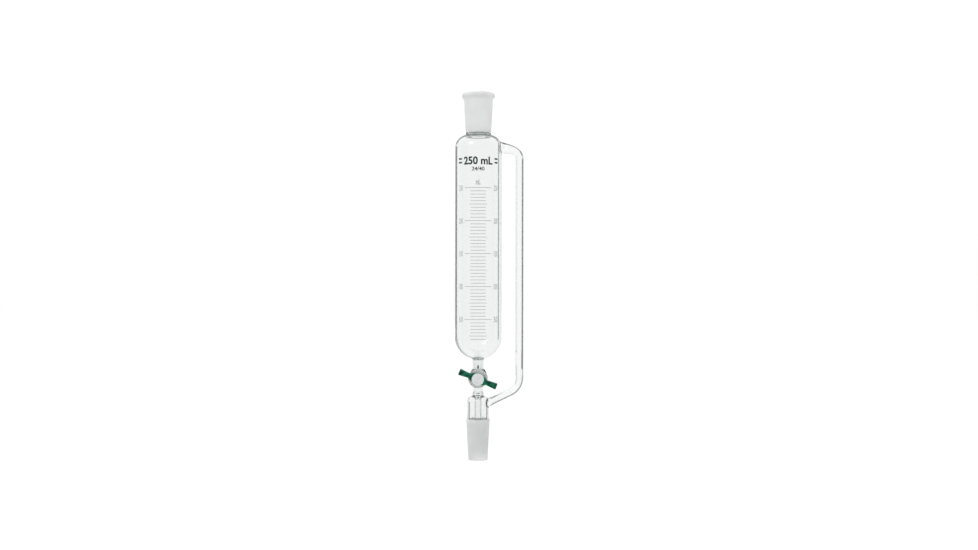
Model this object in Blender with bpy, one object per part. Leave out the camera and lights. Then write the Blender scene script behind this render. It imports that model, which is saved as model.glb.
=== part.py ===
"""Pressure-equalising addition funnel, 250 mL, with 24/40 ground joints and a PTFE stopcock.

The origin is the centre of the cone joint's lower end. +Z runs up the funnel's axis, +X points to the
side arm, and -Y is the front, where the stopcock handle is. The glass blanks that a glassblower fuses
are separate bodies, FIT apart. All sizes are in metres.
"""

import math

import bmesh
import bpy
from mathutils import Matrix, Vector

MM = 0.001
FIT = 0.3 * MM  # gap between two bodies that touch

# Ground joints, size 24/40: 24 mm at the large end, 40 mm long, 1:10 taper
JOINT_LARGE_R = 12.0 * MM
JOINT_SMALL_R = 10.0 * MM
JOINT_LENGTH = 40.0 * MM

# Reservoir
BODY_R = 24.0 * MM
BODY_WALL = 2.15 * MM
DOME_CENTRE_Z = 126.0 * MM
DOME_HEIGHT = 22.7 * MM
CYLINDER_TOP_Z = 312.0 * MM
SHOULDER_Z = 321.5 * MM
SHOULDER_R = 12.5 * MM
NECK_TOP_Z = 336.0 * MM
NECK_R = 13.1 * MM
NECK_BORE_R = 10.2 * MM

# Socket joint at the top
SOCKET_TOP_Z = 377.2 * MM
BEAD_R = 17.2 * MM
BEAD_ROUND = 3.1 * MM

# Vapour jacket between the cone joint and the ring seal
JACKET_R = 11.25 * MM
JACKET_WALL = 1.6 * MM
JACKET_SHOULDER_Z = 60.0 * MM
JACKET_ROUND = 5.0 * MM
CONE_TOP_Z = 42.0 * MM
CONE_END_WALL = 1.8 * MM

# Stems and drip tube
STEM_TOP_Z = 103.4 * MM
UPPER_STEM_R = 5.85 * MM
UPPER_STEM_MOUTH_R = 4.0 * MM
LOWER_STEM_R = 4.8 * MM
LOWER_STEM_BORE_R = 2.6 * MM
RING_SEAL_R = 5.75 * MM
RING_SEAL_TOP_Z = 69.0 * MM
DRIP_R = 3.9 * MM
DRIP_BORE_R = 2.7 * MM
DRIP_TIP_Z = 11.0 * MM
DRIP_SLOPE = 0.7

# Side arm, from the reservoir's shoulder down to the jacket
ARM_X = 42.5 * MM
ARM_R = 4.0 * MM
ARM_WALL = 1.0 * MM
ARM_UPPER_END_Z = 305.0 * MM
ARM_LOWER_END_Z = 88.0 * MM
ARM_ROOT_R = 6.2 * MM
ARM_ROOT = (20.0 * MM, 321.9 * MM)
ARM_UPPER_BEND = ((36.0 * MM, 319.0 * MM), (ARM_X, 318.5 * MM), (ARM_X, 308.5 * MM))
ARM_LOWER_BEND_R = 16.0 * MM
ARM_SLOPE = math.radians(26.0)
ARM_SLOPE_CORNER_Z = 74.2 * MM
ARM_FOOT_X = 9.5 * MM
ARM_FOOT_R = 5.0 * MM

# Stopcock: a 1:5 taper along Y, large end in front
TAP_Z = 85.0 * MM
TAP_HALF_LENGTH = 18.0 * MM
PLUG_MID_R = 5.3 * MM
PLUG_TAPER = 0.1
BARREL_MID_R = 8.4 * MM
BARREL_LIP_R = 9.85 * MM
BARREL_REAR_R = 6.9 * MM
BARREL_REAR_LIP_R = 7.4 * MM
LIP_WIDTH = 1.8 * MM
FLOW_BORE_R = 2.0 * MM

# Plug, from its head in front to its thread behind; distances run forward from the flow bore
HEAD_R = 6.15 * MM
HEAD_FRONT = 30.0 * MM
HEAD_BACK = 27.8 * MM
SHANK_R = 4.0 * MM
COLLAR_FRONT = 20.2 * MM
THREAD_R = 3.0 * MM
THREAD_END = -34.0 * MM

# Handle
HANDLE_TILT = math.radians(21.8)
HANDLE_REACH = 20.25 * MM
HANDLE_TIP_HALF_WIDTH = 3.15 * MM
HANDLE_NECK_HALF_WIDTH = 2.3 * MM
HANDLE_NECK_AT = 9.4 * MM
HANDLE_FLARE = (6.7 * MM, 3.7 * MM)
HANDLE_HUB_R = 6.2 * MM
HANDLE_FRONT = 27.4 * MM
HANDLE_BACK = 20.6 * MM

# Washer, O-ring and nut behind the barrel
WASHER_THICKNESS = 1.5 * MM
WASHER_R = 6.5 * MM
O_RING_SECTION_R = 1.1 * MM
O_RING_INNER_R = 3.35 * MM
NUT_LENGTH = 7.4 * MM
NUT_R = 8.2 * MM
NUT_FLANGE_R = 8.6 * MM
NUT_FLANGE = 1.6 * MM
NUT_FLUTES = 12
NUT_FLUTE_DEPTH = 0.6 * MM

LARGE_STEPS = 40
SMALL_STEPS = 28
ARM_STEPS = 20
ARC_STEPS = 5


def clear_scene():
    for old in list(bpy.data.objects):
        bpy.data.objects.remove(old, do_unlink=True)


def principled(name, colour, roughness, transmission=0.0):
    """A Principled material; colour is linear RGB."""
    material = bpy.data.materials.new(name)
    material.use_nodes = True
    material.diffuse_color = (*colour, 1.0)
    shader = material.node_tree.nodes["Principled BSDF"]
    shader.inputs["Base Color"].default_value = (*colour, 1.0)
    shader.inputs["Roughness"].default_value = roughness
    shader.inputs["Metallic"].default_value = 0.0
    shader.inputs["Transmission Weight"].default_value = transmission
    return material


def clear_glass(name):
    return principled(name + "_glass", (0.86, 0.88, 0.88), 0.02, transmission=0.9)


def ground_glass(name):
    return principled(name + "_ground_glass", (0.66, 0.68, 0.67), 0.55, transmission=0.4)


def ptfe(name):
    return principled(name + "_ptfe", (0.63, 0.66, 0.66), 0.35)


def green_plastic(name):
    return principled(name + "_plastic", (0.0, 0.05, 0.025), 0.3)


def new_object(name, bm, material, parent=None, smooth_angle=40.0):
    """Closes a bmesh into a named object, with its faces outward and its round parts smooth."""
    bmesh.ops.recalc_face_normals(bm, faces=bm.faces)
    mesh = bpy.data.meshes.new(name)
    bm.to_mesh(mesh)
    bm.free()
    mesh.shade_smooth()
    mesh.set_sharp_from_angle(angle=math.radians(smooth_angle))
    obj = bpy.data.objects.new(name, mesh)
    bpy.context.scene.collection.objects.link(obj)
    obj.data.materials.append(material)
    obj.parent = parent
    return obj


def join_rings(bm, first, second):
    """Faces between two rings of vertices, where a ring of one vertex is a pole."""
    count = max(len(first), len(second))
    for i in range(count):
        j = (i + 1) % count
        corners = [first[i % len(first)], first[j % len(first)]]
        corners += [second[j % len(second)], second[i % len(second)]]
        bm.faces.new(dict.fromkeys(corners))


def turned_mesh(outline, steps):
    """Body of revolution about local Z; outline is a loop of (radius, height), or runs from pole to pole."""
    bm = bmesh.new()
    rings = []
    for radius, height in outline:
        count = steps if radius > 0 else 1
        turns = [2 * math.pi * i / steps for i in range(count)]
        points = [(radius * math.cos(a), radius * math.sin(a), height) for a in turns]
        rings.append([bm.verts.new(p) for p in points])
    closed = outline[0][0] > 0
    for i in range(len(rings) if closed else len(rings) - 1):
        join_rings(bm, rings[i], rings[(i + 1) % len(rings)])
    return bm


def turned(name, outline, material, steps=LARGE_STEPS, parent=None):
    return new_object(name, turned_mesh(outline, steps), material, parent)


def arc(centre, radius, start_deg, end_deg, steps=ARC_STEPS, height=None):
    """Points on a circle, or on an ellipse of the given height, as (radius, z) pairs."""
    height = radius if height is None else height
    angles = [math.radians(start_deg + (end_deg - start_deg) * i / steps) for i in range(steps + 1)]
    return [(centre[0] + radius * math.cos(a), centre[1] + height * math.sin(a)) for a in angles]


def swept_tube(name, path, material, steps=ARM_STEPS):
    """Open tube along a path in the XZ plane; path is a list of (x, z, outer radius)."""
    bm = bmesh.new()
    outer, inner = [], []
    for i, (x, z, radius) in enumerate(path):
        before, after = path[max(i - 1, 0)], path[min(i + 1, len(path) - 1)]
        along = Vector((after[0] - before[0], 0.0, after[1] - before[1])).normalized()
        across = Vector((0.0, 1.0, 0.0)).cross(along)
        centre = Vector((x, 0.0, z))
        for rings, r in ((outer, radius), (inner, radius - ARM_WALL)):
            turns = [2 * math.pi * k / steps for k in range(steps)]
            sides = [across * math.cos(a) + Vector((0.0, math.sin(a), 0.0)) for a in turns]
            rings.append([bm.verts.new(centre + side * r) for side in sides])
    for i in range(len(path) - 1):
        join_rings(bm, outer[i], outer[i + 1])
        join_rings(bm, inner[i], inner[i + 1])
    join_rings(bm, outer[0], inner[0])
    join_rings(bm, outer[-1], inner[-1])
    return new_object(name, bm, material)


def combine(target, bm, operation, matrix=Matrix.Identity(4)):
    """Adds a closed mesh to an object, or takes it away, and keeps that mesh as a wire guide."""
    guide = new_object(f"{target.name}_guide_{len(target.modifiers)}", bm, target.active_material)
    guide.parent = target.parent
    guide.matrix_local = matrix
    guide.hide_render = True
    guide.display_type = "WIRE"
    boolean = target.modifiers.new(operation.lower(), "BOOLEAN")
    boolean.operation = operation
    boolean.solver = "EXACT"
    boolean.object = guide


def cut(target, bm, matrix=Matrix.Identity(4)):
    combine(target, bm, "DIFFERENCE", matrix)


def rod_mesh(radius, start, end, steps=SMALL_STEPS):
    return turned_mesh([(0.0, start), (radius, start), (radius, end), (0.0, end)], steps)


def dome(radius, height, lip_r):
    """Lower half of an ellipsoid about the reservoir's axis, from its outlet lip up to the cylinder."""
    lip_angle = -math.degrees(math.acos(lip_r / radius))
    return arc((0.0, DOME_CENTRE_Z), radius, lip_angle, 0.0, steps=8, height=height)


def make_reservoir_bottom():
    """Domed bottom of the reservoir, with the outlet in the middle."""
    outside = dome(BODY_R, DOME_HEIGHT, UPPER_STEM_MOUTH_R)
    inside = dome(BODY_R - BODY_WALL, DOME_HEIGHT - BODY_WALL, UPPER_STEM_MOUTH_R)
    return turned("reservoir_bottom", outside + inside[::-1], clear_glass("reservoir_bottom"))


def make_reservoir_cylinder():
    """Graduated straight run of the reservoir."""
    bottom, top = DOME_CENTRE_Z + FIT, CYLINDER_TOP_Z
    inner_r = BODY_R - BODY_WALL
    outline = [(BODY_R, bottom), (BODY_R, top), (inner_r, top), (inner_r, bottom)]
    return turned("reservoir_cylinder", outline, clear_glass("reservoir_cylinder"))


def make_reservoir_shoulder():
    """Round shoulder and neck, with the hole that the side arm opens from."""
    bottom = CYLINDER_TOP_Z + FIT
    centre = (BODY_R - SHOULDER_R, SHOULDER_Z)
    neck_angle = math.degrees(math.acos((NECK_R - centre[0]) / SHOULDER_R))
    outside = [(BODY_R, bottom)] + arc(centre, SHOULDER_R, 0.0, neck_angle)
    inside = [(BODY_R - BODY_WALL, bottom)] + arc(centre, SHOULDER_R - BODY_WALL, 0.0, 90.0)
    outside.append((NECK_R, NECK_TOP_Z))
    inside += [(NECK_BORE_R, SHOULDER_Z + SHOULDER_R - BODY_WALL), (NECK_BORE_R, NECK_TOP_Z)]
    obj = turned("reservoir_shoulder", outside + inside[::-1], clear_glass("reservoir_shoulder"))
    hole = rod_mesh(ARM_ROOT_R - ARM_WALL, ARM_ROOT[0] - 5 * MM, ARM_ROOT[0] + 10 * MM)
    cut(obj, hole, Matrix.Translation((0.0, 0.0, ARM_ROOT[1])) @ Matrix.Rotation(math.pi / 2, 4, "Y"))
    return obj


def make_socket_joint():
    """Outer ground joint: a bore that widens upward, and a rolled bead at the rim."""
    bottom = NECK_TOP_Z + FIT
    bead_centre = (BEAD_R - BEAD_ROUND, SOCKET_TOP_Z - BEAD_ROUND)
    chamfer = 0.4 * MM
    outline = [(NECK_R, bottom), (NECK_R + 1.95 * MM, SOCKET_TOP_Z - 7.5 * MM)]
    outline += arc(bead_centre, BEAD_ROUND, -60.0, 90.0, steps=7)
    outline += [(JOINT_LARGE_R + chamfer, SOCKET_TOP_Z), (JOINT_LARGE_R, SOCKET_TOP_Z - chamfer)]
    outline += [(JOINT_SMALL_R, SOCKET_TOP_Z - chamfer - JOINT_LENGTH), (JOINT_SMALL_R, bottom)]
    return turned("socket_joint", outline, ground_glass("socket_joint"))


def make_cone_joint():
    """Inner ground joint that plugs into a flask; its flat lower end is at z = 0."""
    chamfer = 0.3 * MM
    outline = [(JOINT_SMALL_R - chamfer, 0.0), (JOINT_SMALL_R, chamfer)]
    outline += [(JOINT_LARGE_R, JOINT_LENGTH), (JOINT_LARGE_R, JOINT_LENGTH + 0.8 * MM)]
    outline += [(JACKET_R, CONE_TOP_Z), (JACKET_R - JACKET_WALL, CONE_TOP_Z)]
    outline += [(JOINT_SMALL_R - CONE_END_WALL, 0.0)]
    return turned("cone_joint", outline, ground_glass("cone_joint"))


def make_vapour_jacket():
    """Tube round the drip tube, closed at the top by a round shoulder with a hole for the ring seal."""
    centre = (JACKET_R - JACKET_ROUND, JACKET_SHOULDER_Z)
    bottom = CONE_TOP_Z + FIT
    hole_r = LOWER_STEM_R + FIT
    outside = [(JACKET_R, bottom)] + arc(centre, JACKET_ROUND, 0.0, 90.0)
    inside = [(JACKET_R - JACKET_WALL, bottom)] + arc(centre, JACKET_ROUND - JACKET_WALL, 0.0, 90.0)
    outside.append((hole_r, JACKET_SHOULDER_Z + JACKET_ROUND))
    inside.append((hole_r, JACKET_SHOULDER_Z + JACKET_ROUND - JACKET_WALL))
    obj = turned("vapour_jacket", outside + inside[::-1], clear_glass("vapour_jacket"))
    hole = rod_mesh(ARM_FOOT_R - ARM_WALL, -4 * MM, 8 * MM)
    leg_direction = Matrix.Rotation(math.pi / 2 - ARM_SLOPE, 4, "Y")
    cut(obj, hole, Matrix.Translation((JACKET_R, 0.0, slope_z(JACKET_R))) @ leg_direction)
    return obj


def barrel_outside(offset=0.0):
    """Outer outline of the barrel, front to back, as (radius, distance forward)."""
    end = TAP_HALF_LENGTH + offset
    lip = LIP_WIDTH + 2 * offset
    neck = end - lip - 1.4 * MM
    mid = BARREL_MID_R + offset
    front = [(BARREL_LIP_R + offset, end), (BARREL_LIP_R + offset, end - lip), (mid + 0.4 * MM, neck)]
    rear = [(BARREL_REAR_R + offset, -neck), (BARREL_REAR_LIP_R + offset, lip - end)]
    return front + [(mid, 0.0)] + rear + [(BARREL_REAR_LIP_R + offset, -end)]


def plug_radius(forward):
    return PLUG_MID_R + PLUG_TAPER * forward


def make_barrel(axis):
    """Stopcock barrel with a 1:5 taper bore and the two flow ports."""
    ends = [-TAP_HALF_LENGTH, TAP_HALF_LENGTH]
    outline = barrel_outside() + [(plug_radius(a) + FIT, a) for a in ends]
    obj = turned("stopcock_barrel", outline, clear_glass("stopcock_barrel"), SMALL_STEPS, axis)
    cut(obj, rod_mesh(FLOW_BORE_R, -12 * MM, 12 * MM, 16), Matrix.Rotation(math.pi / 2, 4, "X"))
    return obj


def saddle_cutter():
    """Closed copy of the barrel, FIT bigger all round, in world axes."""
    outline = barrel_outside(FIT)
    return turned_mesh([(0.0, outline[0][1])] + outline + [(0.0, outline[-1][1])], LARGE_STEPS)


def tap_to_world():
    return Matrix.Translation((0.0, 0.0, TAP_Z)) @ Matrix.Rotation(math.pi / 2, 4, "X")


def make_upper_stem():
    """Short stem with a funnel bore, from the reservoir's outlet to the barrel."""
    outline = [(UPPER_STEM_R, TAP_Z), (UPPER_STEM_R, STEM_TOP_Z), (UPPER_STEM_MOUTH_R, STEM_TOP_Z)]
    outline += [(FLOW_BORE_R, TAP_Z + BARREL_MID_R + 0.5 * MM), (FLOW_BORE_R, TAP_Z)]
    obj = turned("upper_stem", outline, clear_glass("upper_stem"), SMALL_STEPS)
    cut(obj, saddle_cutter(), tap_to_world())
    return obj


def make_lower_stem():
    """Stem from the barrel down through the ring seal, which bulges where the jacket is fused on."""
    seal_bottom = JACKET_SHOULDER_Z + JACKET_ROUND + FIT
    bottom = JACKET_SHOULDER_Z + 3 * MM
    outline = [(LOWER_STEM_R, TAP_Z), (LOWER_STEM_R, RING_SEAL_TOP_Z + 0.8 * MM)]
    outline += [(RING_SEAL_R, RING_SEAL_TOP_Z - 1 * MM), (RING_SEAL_R, seal_bottom + 0.6 * MM)]
    outline += [(RING_SEAL_R - 0.6 * MM, seal_bottom), (LOWER_STEM_R, seal_bottom), (LOWER_STEM_R, bottom)]
    outline += [(LOWER_STEM_BORE_R, bottom), (LOWER_STEM_BORE_R, TAP_Z)]
    obj = turned("lower_stem", outline, clear_glass("lower_stem"), SMALL_STEPS)
    cut(obj, saddle_cutter(), tap_to_world())
    return obj


def make_drip_tube():
    """Drip tube inside the jacket and cone, with a slanted tip."""
    top = JACKET_SHOULDER_Z + 3 * MM - FIT
    outline = [(DRIP_R, DRIP_TIP_Z), (DRIP_R, top), (DRIP_BORE_R, top), (DRIP_BORE_R, DRIP_TIP_Z)]
    bm = turned_mesh(outline, 24)
    for vertex in bm.verts:
        if vertex.co.z < DRIP_TIP_Z + MM:
            vertex.co.z += (vertex.co.x + DRIP_R) * DRIP_SLOPE
    return new_object("drip_tube", bm, clear_glass("drip_tube"))


def slope_z(x):
    """Height of the side arm's sloping leg above the XY plane at x."""
    return ARM_SLOPE_CORNER_Z - (ARM_X - x) * math.tan(ARM_SLOPE)


def bezier(points, steps):
    """Points on a cubic Bezier curve in the XZ plane."""
    curve = []
    for i in range(steps + 1):
        t = i / steps
        weights = ((1 - t) ** 3, 3 * t * (1 - t) ** 2, 3 * t * t * (1 - t), t ** 3)
        curve.append([sum(w * p[axis] for w, p in zip(weights, points)) for axis in (0, 1)])
    return curve


def make_side_arm_upper_bend():
    """Bend from the flared root on the reservoir's shoulder to the vertical run."""
    steps = 9
    path = []
    for i, (x, z) in enumerate(bezier((ARM_ROOT, *ARM_UPPER_BEND), steps)):
        flare = max(0.0, 1.0 - 1.6 * i / steps)
        path.append((x, z, ARM_R + (ARM_ROOT_R - ARM_R) * flare))
    path.append((ARM_X, ARM_UPPER_END_Z, ARM_R))
    obj = swept_tube("side_arm_upper_bend", path, clear_glass("side_arm_upper_bend"))
    wall = arc((BODY_R - SHOULDER_R, SHOULDER_Z), SHOULDER_R + FIT, 0.0, 80.0)
    outline = [(0.0, SHOULDER_Z - 20 * MM), (BODY_R + FIT, SHOULDER_Z - 20 * MM)] + wall
    cut(obj, turned_mesh(outline + [(0.0, wall[-1][1])], LARGE_STEPS))
    return obj


def make_side_arm_tube():
    """Straight vertical run of the side arm."""
    path = [(ARM_X, ARM_UPPER_END_Z - FIT, ARM_R), (ARM_X, ARM_LOWER_END_Z + FIT, ARM_R)]
    return swept_tube("side_arm_tube", path, clear_glass("side_arm_tube"))


def make_side_arm_lower_bend():
    """Bend and sloping leg that lead the vertical run into the jacket."""
    tangent = ARM_LOWER_BEND_R * math.tan((math.pi / 2 - ARM_SLOPE) / 2)
    centre = (ARM_X - ARM_LOWER_BEND_R, ARM_SLOPE_CORNER_Z + tangent)
    end_angle = -(90.0 - math.degrees(ARM_SLOPE))
    path = [(ARM_X, ARM_LOWER_END_Z, ARM_R)]
    path += [(x, z, ARM_R) for x, z in arc(centre, ARM_LOWER_BEND_R, 0.0, end_angle, steps=7)]
    path.append((16.0 * MM, slope_z(16.0 * MM), ARM_R + 0.3 * MM))
    path.append((ARM_FOOT_X, slope_z(ARM_FOOT_X), ARM_FOOT_R))
    obj = swept_tube("side_arm_lower_bend", path, clear_glass("side_arm_lower_bend"))
    round_centre = (JACKET_R - JACKET_ROUND, JACKET_SHOULDER_Z)
    wall = arc(round_centre, JACKET_ROUND + FIT, 0.0, 90.0)
    outline = [(0.0, CONE_TOP_Z), (JACKET_R + FIT, CONE_TOP_Z)] + wall
    cut(obj, turned_mesh(outline + [(0.0, wall[-1][1])], LARGE_STEPS))
    return obj


def make_plug(tilt):
    """PTFE plug: round head, shank for the handle, 1:5 taper with the flow bore, and threaded tail."""
    bevel = 0.5 * MM
    back = -TAP_HALF_LENGTH - FIT
    outline = [(0.0, HEAD_FRONT), (HEAD_R - bevel, HEAD_FRONT), (HEAD_R, HEAD_FRONT - bevel)]
    outline += [(HEAD_R, HEAD_BACK), (SHANK_R, HEAD_BACK), (SHANK_R, COLLAR_FRONT)]
    outline += [(plug_radius(COLLAR_FRONT), COLLAR_FRONT), (plug_radius(back), back), (THREAD_R, back)]
    outline += [(THREAD_R, THREAD_END + bevel), (THREAD_R - bevel, THREAD_END), (0.0, THREAD_END)]
    obj = turned("stopcock_plug", outline, ptfe("stopcock_plug"), SMALL_STEPS, tilt)
    cut(obj, rod_mesh(FLOW_BORE_R, -10 * MM, 10 * MM, 16), Matrix.Rotation(math.pi / 2, 4, "Y"))
    return obj


def extruded(outline, back, front):
    """Prism of a closed outline between two distances forward."""
    bm = bmesh.new()
    face = bm.faces.new([bm.verts.new((u, v, back)) for u, v in outline])
    moved = bmesh.ops.extrude_face_region(bm, geom=[face])["geom"]
    tops = [v for v in moved if isinstance(v, bmesh.types.BMVert)]
    bmesh.ops.translate(bm, verts=tops, vec=(0.0, 0.0, front - back))
    return bm


def handle_quarter():
    """One quarter of the handle's outline, from the middle of the tip to the top of the hub."""
    tip_round = 0.9 * MM
    neck = (HANDLE_NECK_AT, HANDLE_NECK_HALF_WIDTH)
    flare_u, flare_v = HANDLE_FLARE
    points = [(HANDLE_REACH, 0.0), (HANDLE_REACH, HANDLE_TIP_HALF_WIDTH - tip_round)]
    points += [(HANDLE_REACH - tip_round, HANDLE_TIP_HALF_WIDTH), neck]
    points += [(flare_u + 1.2 * MM, flare_v - 1.0 * MM), (flare_u, flare_v)]
    return points + arc((0.0, 0.0), HANDLE_HUB_R, 42.0, 90.0, steps=4)


def make_handle(tilt):
    """Bow-tie handle: a hub clipped on the plug's shank, and an arm to each side."""
    quarter = handle_quarter()
    half = quarter + [(-u, v) for u, v in quarter[-2::-1]]
    outline = half + [(u, -v) for u, v in half[-2:0:-1]]
    mesh = extruded(outline, HANDLE_BACK, HANDLE_FRONT)
    obj = new_object("stopcock_handle", mesh, green_plastic("stopcock_handle"), tilt)
    cut(obj, rod_mesh(SHANK_R + FIT, HANDLE_BACK - MM, HANDLE_FRONT + MM))
    return obj


def make_washer(tilt):
    front = -TAP_HALF_LENGTH - FIT
    back = front - WASHER_THICKNESS
    bore = THREAD_R + FIT
    outline = [(WASHER_R, front), (WASHER_R, back), (bore, back), (bore, front)]
    return turned("plug_washer", outline, ptfe("plug_washer"), SMALL_STEPS, tilt)


def make_o_ring(tilt):
    middle = -TAP_HALF_LENGTH - 2 * FIT - WASHER_THICKNESS - O_RING_SECTION_R
    centre = (O_RING_INNER_R + O_RING_SECTION_R, middle)
    section = arc(centre, O_RING_SECTION_R, 0.0, 360.0, steps=10)[:-1]
    rubber = principled("plug_o_ring_rubber", (0.012, 0.012, 0.012), 0.6)
    return turned("plug_o_ring", section, rubber, 24, tilt)


def nut_front():
    return -TAP_HALF_LENGTH - 3 * FIT - WASHER_THICKNESS - 2 * O_RING_SECTION_R


def nut_outline():
    """Fluted ring: each flute is a shallow notch between two flats."""
    points = []
    for i in range(4 * NUT_FLUTES):
        radius = NUT_R if i % 4 < 2 else NUT_R - NUT_FLUTE_DEPTH
        turn = 2 * math.pi * (i + 0.5) / (4 * NUT_FLUTES)
        points.append((radius * math.cos(turn), radius * math.sin(turn)))
    return points


def make_nut(tilt):
    """Fluted tension nut with a smooth flange towards the O-ring."""
    front = nut_front()
    back = front - NUT_LENGTH
    grip = extruded(nut_outline(), back, front - NUT_FLANGE / 2)
    obj = new_object("tension_nut", grip, green_plastic("tension_nut"), tilt)
    combine(obj, rod_mesh(NUT_FLANGE_R, front - NUT_FLANGE, front, LARGE_STEPS), "UNION")
    cut(obj, rod_mesh(THREAD_R + FIT, back - MM, front + MM))
    return obj


def empty(name, matrix, parent=None):
    obj = bpy.data.objects.new(name, None)
    bpy.context.scene.collection.objects.link(obj)
    obj.parent = parent
    obj.matrix_local = matrix
    return obj


def make_glass(axis):
    make_cone_joint()
    make_vapour_jacket()
    make_drip_tube()
    make_lower_stem()
    make_barrel(axis)
    make_upper_stem()
    make_reservoir_bottom()
    make_reservoir_cylinder()
    make_reservoir_shoulder()
    make_socket_joint()
    make_side_arm_upper_bend()
    make_side_arm_tube()
    make_side_arm_lower_bend()


def make_stopcock(axis):
    """Moving pieces; the tilt empty turns the handle and the flow bore away from fully closed."""
    tilt = empty("handle_tilt", Matrix.Rotation(-HANDLE_TILT, 4, "Z"), axis)
    make_plug(tilt)
    make_handle(tilt)
    make_washer(tilt)
    make_o_ring(tilt)
    make_nut(tilt)


clear_scene()
stopcock_axis = empty("stopcock_axis", tap_to_world())
make_glass(stopcock_axis)
make_stopcock(stopcock_axis)
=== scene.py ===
"""Looks of a 250 mL pressure-equalising addition funnel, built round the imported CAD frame.

Outlines are in millimetres and turn into metres when a piece is made. Places come from the frame's
boxes; what a box can't give, such as a wall or a fillet, is a number here. "Forward" runs from the
stopcock's flow bore towards -Y, where the handle is.
"""

import math
from functools import partial

import bmesh
import bpy
from mathutils import Matrix, Vector


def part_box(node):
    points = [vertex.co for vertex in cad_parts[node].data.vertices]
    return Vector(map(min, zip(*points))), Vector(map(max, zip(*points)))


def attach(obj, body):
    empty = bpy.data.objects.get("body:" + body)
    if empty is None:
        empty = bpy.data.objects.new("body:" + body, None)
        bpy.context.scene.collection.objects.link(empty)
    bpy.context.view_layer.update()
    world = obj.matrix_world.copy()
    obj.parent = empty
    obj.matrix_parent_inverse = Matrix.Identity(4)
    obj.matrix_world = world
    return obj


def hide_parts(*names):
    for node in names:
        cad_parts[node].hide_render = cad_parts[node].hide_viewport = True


MM = 0.001
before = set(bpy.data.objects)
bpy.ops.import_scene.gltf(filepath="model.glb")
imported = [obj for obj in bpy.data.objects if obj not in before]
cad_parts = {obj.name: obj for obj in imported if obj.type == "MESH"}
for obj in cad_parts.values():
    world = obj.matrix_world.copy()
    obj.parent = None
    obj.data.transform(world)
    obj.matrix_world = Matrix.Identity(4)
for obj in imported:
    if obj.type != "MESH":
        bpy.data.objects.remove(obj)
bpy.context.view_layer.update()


def low(node):
    """Lowest corner of a CAD node, in millimetres."""
    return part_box(node)[0] / MM


def high(node):
    """Highest corner of a CAD node, in millimetres."""
    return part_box(node)[1] / MM


# Reservoir and socket
BODY_R = high("reservoir_cylinder").x
WALL = 1.95
DOME_Z = high("reservoir_bottom").z
DOME_HEIGHT = 22.7
DOME_FOOT = 104.0
NECK_TOP = high("reservoir_shoulder").z
SHOULDER = (11.5, 321.5)
SHOULDER_R = 12.5
END_WALL = 1.4
NECK_R = 13.1
NECK_BORE_R = 10.2
RIM_Z = high("socket_joint").z
BEAD_R = high("socket_joint").x

# Jacket, cone and drip tube
CONE_R = high("cone_joint").x
CONE_TOP = high("cone_joint").z
JACKET_R = high("vapour_jacket").x
JACKET_WALL = 1.9
JACKET_SHOULDER = (6.25, 60.0)
JACKET_SHOULDER_R = 5.0
RING_SEAL_Z = 58.0
DRIP_R = high("drip_tube").x
DRIP_TIP = low("drip_tube").z

# Side arm
ARM_X = (low("side_arm_tube").x + high("side_arm_tube").x) / 2
ARM_R = (high("side_arm_tube").x - low("side_arm_tube").x) / 2
ARM_WALL = 1.0
ARM_SLOPE = 26.0
ARM_ELBOW_Z = 74.2
ARM_BEND_R = 16.0
ARM_TOP = high("side_arm_tube").z
ARM_BOTTOM = low("side_arm_tube").z
# All the glass out past ARM_START is the arm's; past LEG_START it is what lies near the sloping leg
ARM_START = 26.0
LEG_START = 13.0
LEG_TOP = 80.0
# Limits of X and Z round the place where the arm leaves the jacket
MOUTH_X = (8.0, 14.0)
MOUTH_Z = (53.5, 66.0)

# Stems
UPPER_STEM_R = 5.6
LOWER_STEM_R = 4.8
FLOW_BORE_R = 2.0

# Stopcock, with distances forward
TAP_Z = (low("stopcock_barrel").z + high("stopcock_barrel").z) / 2
BARREL_END = high("stopcock_barrel").y
HEAD_FRONT = -low("stopcock_plug").y
THREAD_END = -high("stopcock_plug").y
HANDLE_FRONT = -low("stopcock_handle").y
HANDLE_BACK = -high("stopcock_handle").y
HANDLE_TILT = math.radians(21.8)
HEAD_R = 6.15
THREAD_R = 3.0
THREAD_DEPTH = 0.42
PITCH = 1.5

# Print, which is bent round the glass a column at a time
SCALE_TOP = 278.3
MARK_STEP = 3.333
LABEL_Z = 306.0
PRINT_THICKNESS = 0.06
PRINT_GAP = 0.012
COLUMN = 0.8

# Bottom, top and colour of the bands of painted shade at two joins: dome on upper stem, and neck on socket
JOIN_SHADE_BANDS = [(103.1, 103.9, (0.62, 0.68, 0.67)), (335.3, 336.1, (0.38, 0.48, 0.47))]
JOIN_SHADE_FADE = 0.15

GLASS_IOR = 1.473
WHITE = (1.0, 1.0, 1.0)
FROST = (0.94, 0.947, 0.944)

# Studio, in metres
FLOOR_Z = -0.12
MIDDLE_Z = 0.190
CAMERA_PLACE = (0.0111, -1.15, MIDDLE_Z)
CAMERA_ROLL = math.radians(-0.09)
CAMERA_LENS = 41.08


# ---------------------------------------------------------------- meshes


def arc(centre, radius, start, end, steps=16, height=None):
    """Corners without fillets on a circle, or on an ellipse of the given height; angles in degrees."""
    height = radius if height is None else height
    angles = [math.radians(start + (end - start) * i / steps) for i in range(steps + 1)]
    return [(centre[0] + radius * math.cos(a), centre[1] + height * math.sin(a)) for a in angles]


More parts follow.
